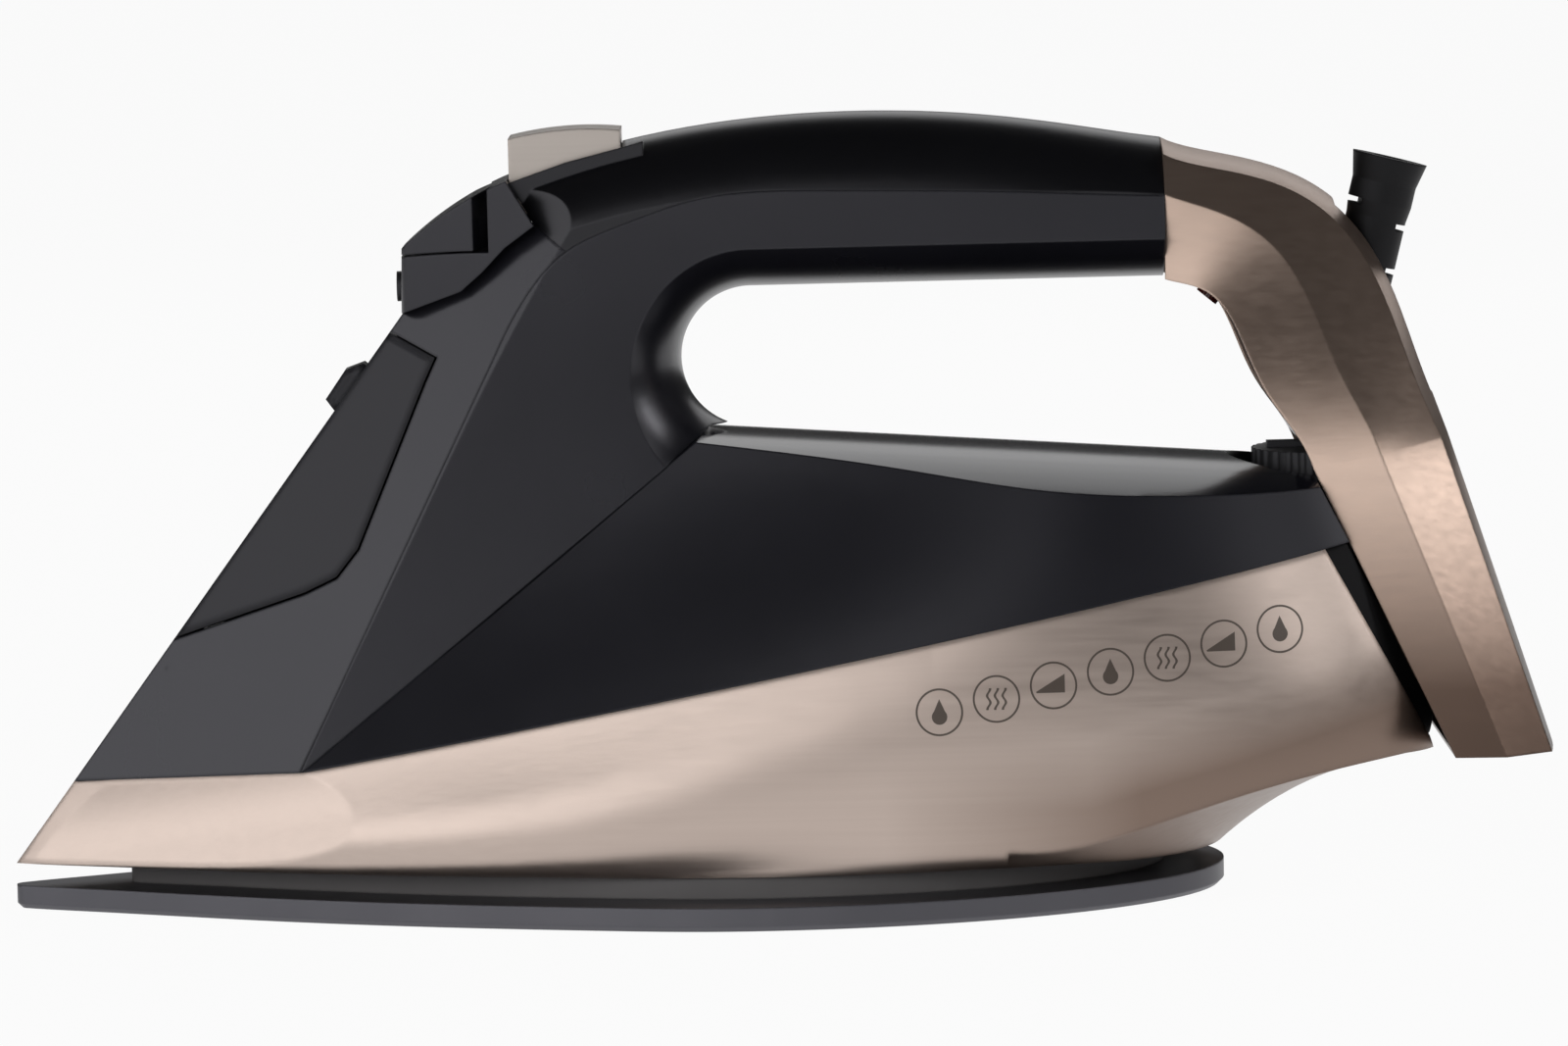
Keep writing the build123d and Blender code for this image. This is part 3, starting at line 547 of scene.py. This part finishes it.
# %% Tank and lens
def clear_piece(name, light, dark, rough, cloud_rough, scale):
    """Glossy moulding with a slight haze."""
    finish = Finish(name)
    haze = finish.grain(finish.place, scale)
    colour = finish.blend(haze, opaque(dark), opaque(light))
    return finish.set(base_color=colour, roughness=rough + cloud_rough * haze)


tank_clear = clear_piece("tank_clear", (0.48, 0.50, 0.53), (0.36, 0.38, 0.41), 0.1, 0.1, 40.0)
pilot_red = clear_piece("pilot_red", (0.09, 0.008, 0.005), (0.05, 0.004, 0.003), 0.08, 0.05, 300.0)
print("clear:", tank_clear.material.name, pilot_red.material.name)

# %% [markdown]
# ## Who wears what
# Every solid gets one finish. The hidden ones could stay grey, but doors open and parts are used again, so
# they get their true material too. A table from finish to solids is easier to check than 42 single lines.

# %% Give every solid its finish
worn = {
    deck_black: ["lower_housing"],
    body_black: ["column_housing", "spray_head", "steam_lever"],
    nose_black: ["nose_panel"],
    matte_black: ["rear_frame"],
    handle_black: ["handle_cover", "grip_liner"],
    smoke_door: ["filler_door"],
    satin_black: ["spray_nozzle", "temperature_dial", "dial_carrier", "pump_shelf", "burst_pump",
                  "spray_pump", "dial_gear", "thermostat_gear", "cord_trunnion", "trunnion_bracket",
                  "terminal_block", "filler_funnel"],
    boot_rubber: ["cord_boot", "drip_seal"],
    guard_plastic: ["heat_guard"],
    skirt_champagne: ["skirt"],
    column_champagne: ["rear_cover"],
    button_champagne: ["burst_button", "spray_button"],
    sole_grey: ["soleplate"],
    bare_casting: ["heater_casting", "steam_chamber_cover"],
    plain_steel: ["door_hinge_pin", "heating_element", "valve_rod", "thermostat_spindle",
                  "burst_spring", "spray_spring", "sole_screws", "thermostat", "thermal_fuse"],
    tank_clear: ["water_tank"],
    pilot_red: ["pilot_lens"],
}
for finish, names in worn.items():
    for name in names:
        nodes[name].data.materials.clear()
        nodes[name].data.materials.append(finish.material)
print("dressed:", sum(len(names) for names in worn.values()), "of", len(nodes))

# %% [markdown]
# ## Door seal
# Behind the gap round the filler door sits a flat rubber lip. It is glued to the inside of the nose, reaches
# under the edge of the door, and keeps daylight from showing through from one side to the other. It could be
# bent from a curve with a bevel, but the lip lies flat against the faceted wall, so a strip of quads along the
# door's outline is simpler. The outline is in millimetres in the side view.

# %% Outline of the lip
SEAL_LINE = [(-73.6, 112.8), (-66.1, 108.9), (-68.2, 104.5), (-82.1, 72.0), (-86.5, 66.5),
             (-93.0, 63.3), (-110.0, 57.3)]
SEAL_REACH = 2.2
MITRE_LIMIT = 0.4
FACET_POINT = Vector((-85.0, -15.0, 73.0))
FACET_NORMAL = Vector((-0.47, -0.82, 0.32))


def facet_depth(x, z):
    """Y of the nose's near facet over a point of the side view."""
    lean = FACET_NORMAL.x * (x - FACET_POINT.x) + FACET_NORMAL.z * (z - FACET_POINT.z)
    return FACET_POINT.y - lean / FACET_NORMAL.y


def strip_corners(line, reach):
    """Left and right corners of a band along a line, mitred at each bend."""
    points = [Vector(point) for point in line]
    ways = [(there - here).normalized() for here, there in zip(points, points[1:])]
    corners = []
    for here, before, after in zip(points, ways[:1] + ways, ways + ways[-1:]):
        side = Vector((-before.y - after.y, before.x + after.x)).normalized()
        stretch = reach / max(MITRE_LIMIT, side.dot(Vector((-after.y, after.x))))
        corners.append((here + stretch * side, here - stretch * side))
    return corners


print("lip:", len(SEAL_LINE), "points,", 2 * SEAL_REACH, "mm wide")

# %% Rubber lip on both sides of the nose
SEAL_DEPTH = (2.75, 3.95)


def sweep(name, shape, rings, finish, smooth):
    """Join rings of vertices to a closed tube, cap its ends and dress it."""
    for here, there in zip(rings, rings[1:]):
        for side in range(len(here)):
            wall = shape.faces.new((here[side - 1], here[side], there[side], there[side - 1]))
            wall.smooth = smooth
    shape.faces.new(rings[0])
    shape.faces.new(rings[-1][::-1])
    bmesh.ops.recalc_face_normals(shape, faces=shape.faces)
    mesh = bpy.data.meshes.new(name)
    shape.to_mesh(mesh)
    shape.free()
    mesh.materials.append(finish.material)
    piece = bpy.data.objects.new(name, mesh)
    scene.collection.objects.link(piece)
    print(name, "has", len(mesh.polygons), "faces")
    return piece


def seal_strip(name, hand):
    """The lip of one side: hand 1 is the near side, -1 the far one."""
    shape = bmesh.new()
    rows = []
    for left, right in strip_corners(SEAL_LINE, SEAL_REACH):
        row = []
        for point, depth in ((left, 0), (right, 0), (right, 1), (left, 1)):
            y = hand * (facet_depth(point.x, point.y) + SEAL_DEPTH[depth])
            row.append(shape.verts.new(Vector((point.x, y, point.y)) / MM_PER_M))
        rows.append(row)
    piece = sweep(name, shape, rows, boot_rubber, smooth=False)
    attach(piece, "iron")


seal_strip("door_seal_near", 1.0)
seal_strip("door_seal_far", -1.0)

# %% [markdown]
# ## Button springs
# Each thumb button is pushed back up by a coil spring round its stem. The frame holds a plain sleeve in that
# place. A screw modifier could wind a coil, but its ends stay open, so here rings of wire are set along a
# helix and joined. The lower end rests on the pump, and the coil rides on the iron at a fixed length.

# %% Wire along a helix
SPRING_TURNS = 6
STEPS_PER_TURN = 20
WIRE_SIDES = 8
WIRE_RADIUS = 0.0004
UP = Vector((0.0, 0.0, 1.0))


def wire_ring(shape, angle, reach, centre, height):
    """One ring of the wire, square to the helix as seen from above."""
    outward = Vector((math.cos(angle), math.sin(angle), 0.0))
    middle = Vector((centre.x, centre.y, height)) + reach * outward
    ring = []
    for side in range(WIRE_SIDES):
        turned = 2.0 * math.pi * side / WIRE_SIDES
        offset = math.cos(turned) * outward + math.sin(turned) * UP
        ring.append(shape.verts.new(middle + WIRE_RADIUS * offset))
    return ring


def helix_rings(shape, low, high):
    """Rings of wire that fill the box between two corners."""
    centre = (low + high) / 2.0
    reach = (high.x - low.x) / 2.0 - WIRE_RADIUS
    first, last = low.z + WIRE_RADIUS, high.z - WIRE_RADIUS
    steps = SPRING_TURNS * STEPS_PER_TURN
    rings = []
    for step in range(steps + 1):
        angle = 2.0 * math.pi * step / STEPS_PER_TURN
        rings.append(wire_ring(shape, angle, reach, centre, first + (last - first) * step / steps))
    return rings


print("wire of", 2 * MM_PER_M * WIRE_RADIUS, "mm in", SPRING_TURNS, "turns")


def coil_spring(name, node):
    """A coil in the place of a sleeve, riding on the iron."""
    low, high = (Vector(corner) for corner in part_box(node))
    shape = bmesh.new()
    piece = sweep(name, shape, helix_rings(shape, low, high), plain_steel, smooth=True)
    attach(piece, "iron")
    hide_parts(node)
    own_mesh(piece)


coil_spring("burst_coil", "burst_spring")
coil_spring("spray_coil", "spray_spring")

# %% [markdown]
# ## End
# The dressed iron must not outgrow its solids; its boxes are not measured
# in this script.

# %% End
print("end of the script")
